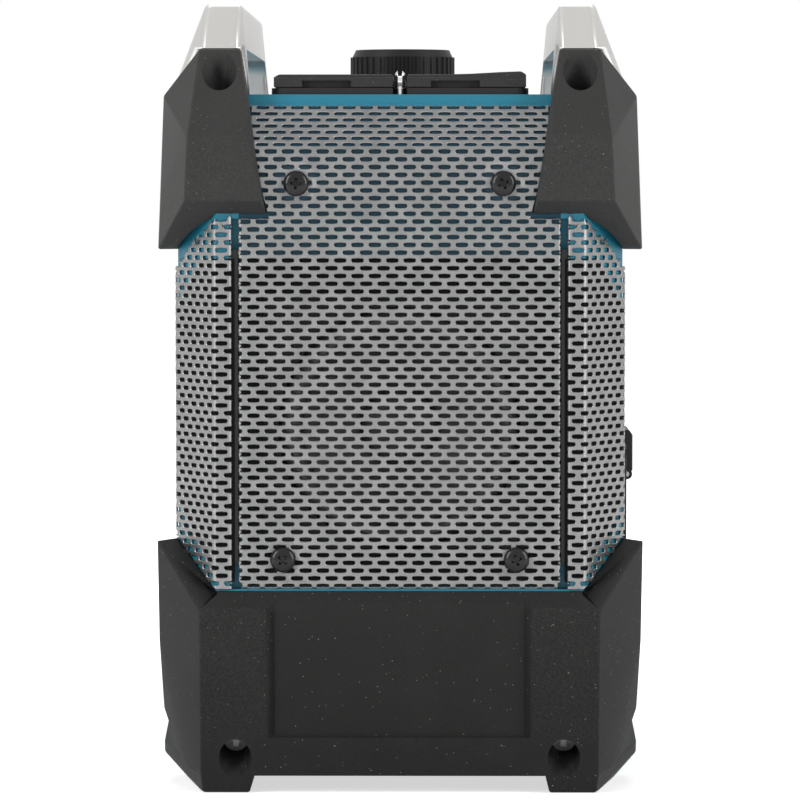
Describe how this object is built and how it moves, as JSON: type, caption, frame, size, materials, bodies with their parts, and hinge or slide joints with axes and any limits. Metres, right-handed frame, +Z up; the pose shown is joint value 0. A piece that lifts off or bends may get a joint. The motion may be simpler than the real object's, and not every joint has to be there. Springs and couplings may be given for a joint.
{
  "type": "jobsite radio",
  "caption": "Jobsite radio: tall housing with loudspeakers behind bent perforated end grilles, rubber corner bumpers, roll-bar handles, and a control deck with folding antenna.",
  "frame": {"origin": "centre of the footprint on the floor plane, at the bottom centre of the bounding box", "axes": "+Z up; -Y towards the loudspeaker end seen in the picture (the right end), +Y towards the other end; -X towards the front wall, +X towards the battery door"},
  "size_m": [0.1898, 0.29, 0.306],
  "materials": {
    "housing_plastic": "fine textured teal moulding",
    "grille_steel": "zinc-coated perforated sheet",
    "trim_rubber": "smooth black strip",
    "black_screw": "glossy black pan head",
    "bumper_rubber": "granular matt black rubber",
    "roll_bar_metal": "satin silver",
    "fastener_steel": "plain steel",
    "speaker_frame": "black painted frame",
    "magnet_iron": "dark grey",
    "cone_paper": "dark pressed paper with a rubber surround",
    "black_plastic": "fine textured black moulding",
    "board_green": "circuit board",
    "display_panel": "liquid crystal panel",
    "display_glass": "clear window",
    "knob_plastic": "ribbed black moulding",
    "button_rubber": "soft matt keys",
    "flap_rubber": "granular black rubber",
    "socket_metal": "plain metal shell",
    "antenna_metal": "bright tube",
    "contact_brass": "spring contacts"
  },
  "bodies": {
    "radio": {"main_housing": "housing_plastic", "right_end_cap": "housing_plastic", "left_end_cap": "housing_plastic", "right_end_grille": "grille_steel", "left_end_grille": "grille_steel", "front_right_corner_grille": "grille_steel", "rear_right_corner_grille": "grille_steel", "front_left_corner_grille": "grille_steel", "rear_left_corner_grille": "grille_steel", "right_grille_strips": "trim_rubber", "left_grille_strips": "trim_rubber", "grille_screws": "black_screw", "front_right_top_bumper": "bumper_rubber", "rear_right_top_bumper": "bumper_rubber", "front_left_top_bumper": "bumper_rubber", "rear_left_top_bumper": "bumper_rubber", "right_base_bumper": "bumper_rubber", "left_base_bumper": "bumper_rubber", "front_roll_bar": "roll_bar_metal", "rear_roll_bar": "roll_bar_metal", "roll_bar_screws": "fastener_steel", "top_bumper_bolts": "fastener_steel", "base_bumper_bolts": "fastener_steel", "right_speaker_frame": "speaker_frame", "right_speaker_magnet": "magnet_iron", "right_speaker_cone": "cone_paper", "left_speaker_frame": "speaker_frame", "left_speaker_magnet": "magnet_iron", "left_speaker_cone": "cone_paper", "control_deck": "black_plastic", "control_board": "board_green", "display_module": "display_panel", "display_window": "display_glass", "encoder_body": "black_plastic", "flap_hinge_ears": "black_plastic", "flap_hinge_pins": "fastener_steel", "line_in_socket": "black_plastic", "charge_socket": "socket_metal", "antenna_post": "antenna_metal", "antenna_pin": "fastener_steel", "battery_bay": "black_plastic", "battery_terminals": "contact_brass", "door_hinge_pin": "fastener_steel", "amplifier_board": "board_green"},
    "knob": {"tuning_knob": "knob_plastic", "encoder_shaft": "fastener_steel"},
    "power_button": {"power_button": "button_rubber"},
    "source_button": {"source_button": "button_rubber"},
    "menu_button": {"menu_button": "button_rubber"},
    "seek_down_button": {"seek_down_button": "button_rubber"},
    "seek_up_button": {"seek_up_button": "button_rubber"},
    "preset_button": {"preset_button": "button_rubber"},
    "line_in_flap": {"line_in_flap": "flap_rubber"},
    "charge_flap": {"charge_flap": "flap_rubber"},
    "antenna_lower": {"antenna_tube_1": "antenna_metal"},
    "antenna_middle": {"antenna_tube_2": "antenna_metal"},
    "antenna_upper": {"antenna_tube_3": "antenna_metal"},
    "battery_door": {"battery_door": "black_plastic", "latch_pin": "fastener_steel"},
    "door_latch": {"door_latch": "black_plastic"}
  },
  "joints": [
    {"name": "knob_turn", "type": "hinge", "parent": "radio", "child": "knob", "pos_m": [0, 0.011, 0.2735], "axis": [0, 0, 1], "continuous": true},
    {"name": "power_press", "type": "slide", "parent": "radio", "child": "power_button", "axis": [0, 0, -1], "range_m": [0, 0.001], "stiffness_N_per_m": 200, "springref_m": -0.002},
    {"name": "source_press", "type": "slide", "parent": "radio", "child": "source_button", "axis": [0, 0, -1], "range_m": [0, 0.001], "stiffness_N_per_m": 200, "springref_m": -0.002},
    {"name": "menu_press", "type": "slide", "parent": "radio", "child": "menu_button", "axis": [0, 0, -1], "range_m": [0, 0.001], "stiffness_N_per_m": 200, "springref_m": -0.002},
    {"name": "seek_down_press", "type": "slide", "parent": "radio", "child": "seek_down_button", "axis": [0, 0, -1], "range_m": [0, 0.001], "stiffness_N_per_m": 200, "springref_m": -0.002},
    {"name": "seek_up_press", "type": "slide", "parent": "radio", "child": "seek_up_button", "axis": [0, 0, -1], "range_m": [0, 0.001], "stiffness_N_per_m": 200, "springref_m": -0.002},
    {"name": "preset_press", "type": "slide", "parent": "radio", "child": "preset_button", "axis": [0, 0, -1], "range_m": [0, 0.001], "stiffness_N_per_m": 200, "springref_m": -0.002},
    {"name": "line_in_flap_hinge", "type": "hinge", "parent": "radio", "child": "line_in_flap", "pos_m": [0, -0.0785, 0.27525], "axis": [-1, 0, 0], "range_deg": [0, 110]},
    {"name": "charge_flap_hinge", "type": "hinge", "parent": "radio", "child": "charge_flap", "pos_m": [0, -0.0785, 0.27525], "axis": [-1, 0, 0], "range_deg": [0, 110]},
    {"name": "antenna_tilt", "type": "hinge", "parent": "radio", "child": "antenna_lower", "pos_m": [0, -0.118, 0.2754], "axis": [1, 0, 0], "range_deg": [0, 90]},
    {"name": "antenna_middle_slide", "type": "slide", "parent": "antenna_lower", "child": "antenna_middle", "axis": [0, 1, 0], "range_m": [0, 0.07]},
    {"name": "antenna_upper_slide", "type": "slide", "parent": "antenna_middle", "child": "antenna_upper", "axis": [0, 1, 0], "range_m": [0, 0.07]},
    {"name": "battery_door_hinge", "type": "hinge", "parent": "radio", "child": "battery_door", "pos_m": [0.0902, 0, 0.0398], "axis": [0, 1, 0], "range_deg": [0, 100]},
    {"name": "door_latch_turn", "type": "hinge", "parent": "battery_door", "child": "door_latch", "pos_m": [0.0923, 0, 0.1162], "axis": [0, 1, 0], "range_deg": [0, 75]}
  ],
  "couplings": [
    {"joint": "antenna_middle_slide", "follows": "antenna_tilt", "m_per_rad": 0.0445},
    {"joint": "antenna_upper_slide", "follows": "antenna_tilt", "m_per_rad": 0.0445}
  ]
}
